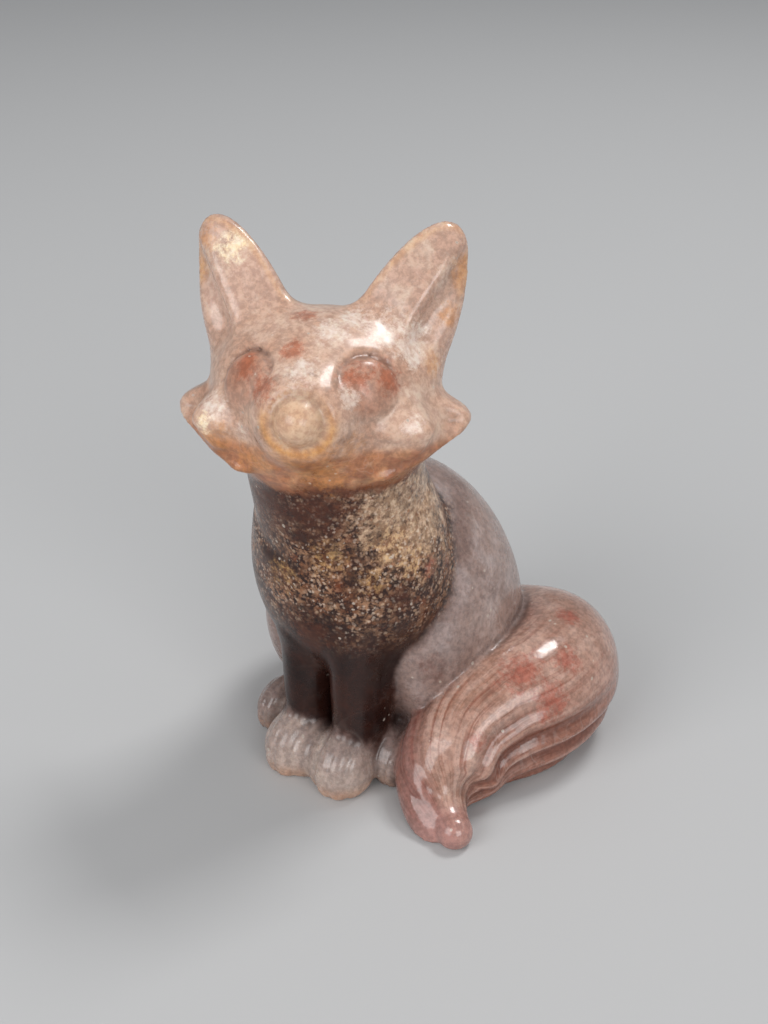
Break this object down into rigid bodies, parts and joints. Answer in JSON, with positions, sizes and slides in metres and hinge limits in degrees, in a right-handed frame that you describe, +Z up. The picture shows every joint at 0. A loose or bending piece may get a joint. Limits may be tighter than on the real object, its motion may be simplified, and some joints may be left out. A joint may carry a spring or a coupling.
{
  "type": "fox figurine",
  "caption": "Small sitting fox carved from polished translucent quartz, with upright ears, cheek tufts and a full tail curled round one flank; it stands on a flat underside.",
  "frame": {"origin": "on the ground under the middle of the fox, on its flat underside", "axes": "+Z up, the fox's body faces -Y, its left side is +X"},
  "size_m": [0.033, 0.0345, 0.0494],
  "materials": {
    "pale_quartz": "polished translucent stone, cloudy pinkish beige with amber and white patches",
    "dark_quartz": "polished dark brown stone full of small golden and copper flecks",
    "mauve_quartz": "polished translucent stone, grey mauve with red-brown streaks"
  },
  "bodies": {
    "root": {"chest": "dark_quartz", "head": "pale_quartz", "left_ear": "pale_quartz", "left_eye": "pale_quartz", "left_foreleg": "dark_quartz", "left_forepaw": "pale_quartz", "left_hind_paw": "pale_quartz", "left_lower_tuft": "pale_quartz", "left_thigh": "mauve_quartz", "left_upper_tuft": "pale_quartz", "muzzle": "pale_quartz", "neck": "dark_quartz", "nose": "pale_quartz", "right_ear": "pale_quartz", "right_eye": "pale_quartz", "right_foreleg": "dark_quartz", "right_forepaw": "pale_quartz", "right_hind_paw": "pale_quartz", "right_lower_tuft": "pale_quartz", "right_thigh": "mauve_quartz", "right_upper_tuft": "pale_quartz", "rump": "mauve_quartz", "tail": "mauve_quartz"}
  },
  "joints": []
}
